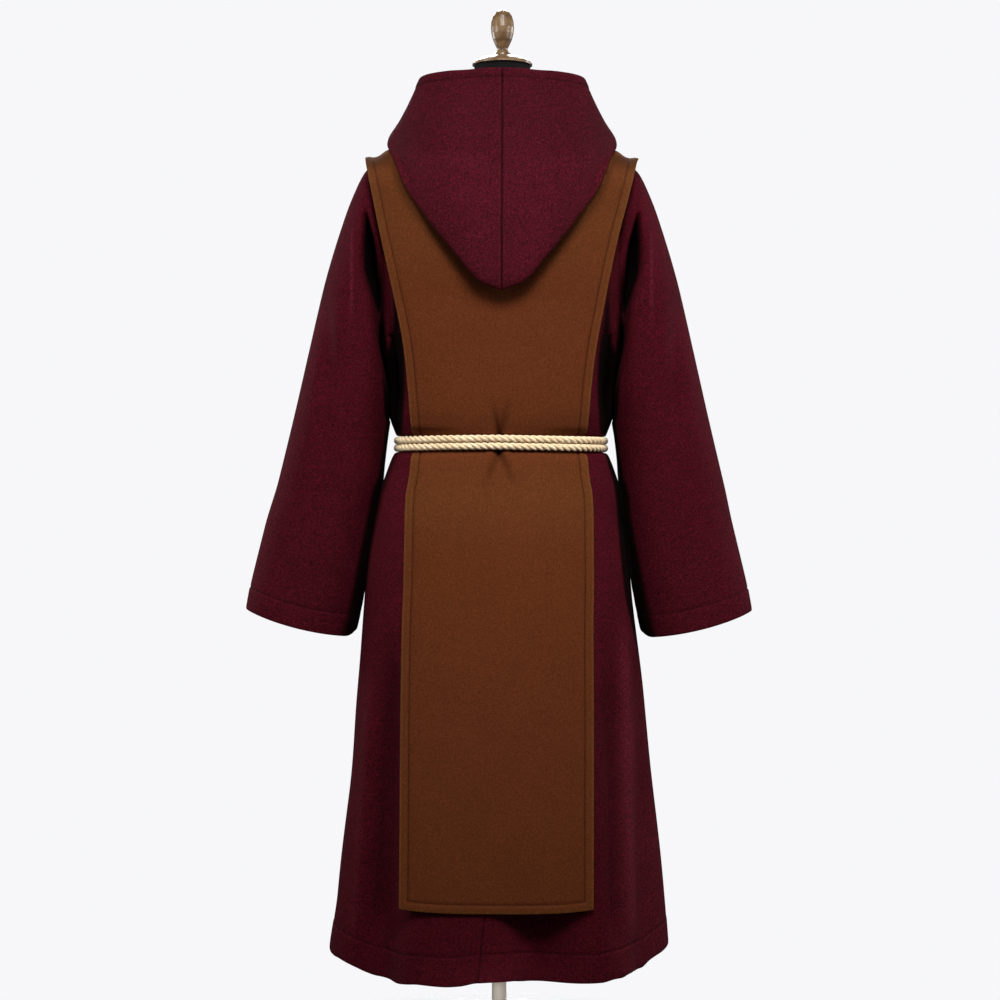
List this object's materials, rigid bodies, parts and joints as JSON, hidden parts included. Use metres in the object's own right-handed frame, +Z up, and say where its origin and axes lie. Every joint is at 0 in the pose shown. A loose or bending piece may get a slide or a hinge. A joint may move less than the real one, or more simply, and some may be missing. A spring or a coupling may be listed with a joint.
{
  "type": "monk habit on a dress form",
  "caption": "Hooded monk habit of felted wool with wide sleeves, a scapular over it and a rope belt, on a limbless dress form with a wooden finial and a round stand.",
  "frame": {"origin": "on the floor, at the middle of the stand's base, under the pole", "axes": "+Z up along the pole, -Y the way the wearer faces, +X the wearer's left"},
  "size_m": [0.858, 0.485, 1.7586],
  "materials": {
    "maroon_wool": "dark maroon felted wool, napped and matt",
    "brown_wool": "chestnut brown felted wool, napped and matt",
    "cream_rope": "cream three-strand twisted cotton rope",
    "black_jersey": "near-black stretched jersey cover",
    "turned_wood": "turned and varnished brown wood",
    "satin_steel": "satin beige-grey steel"
  },
  "bodies": {
    "root": {"gown_back_left": "maroon_wool", "gown_back_right": "maroon_wool", "gown_front": "maroon_wool", "sleeve_left": "maroon_wool", "sleeve_right": "maroon_wool", "hood_left": "maroon_wool", "hood_right": "maroon_wool", "scapular_back": "brown_wool", "scapular_front": "brown_wool", "rope_turn_upper": "cream_rope", "rope_turn_lower": "cream_rope", "rope_knot": "cream_rope", "rope_end_left": "cream_rope", "rope_end_right": "cream_rope", "form_torso": "black_jersey", "form_neck_cap": "turned_wood", "form_finial": "turned_wood", "stand_pole": "satin_steel", "stand_base": "satin_steel"}
  },
  "joints": []
}
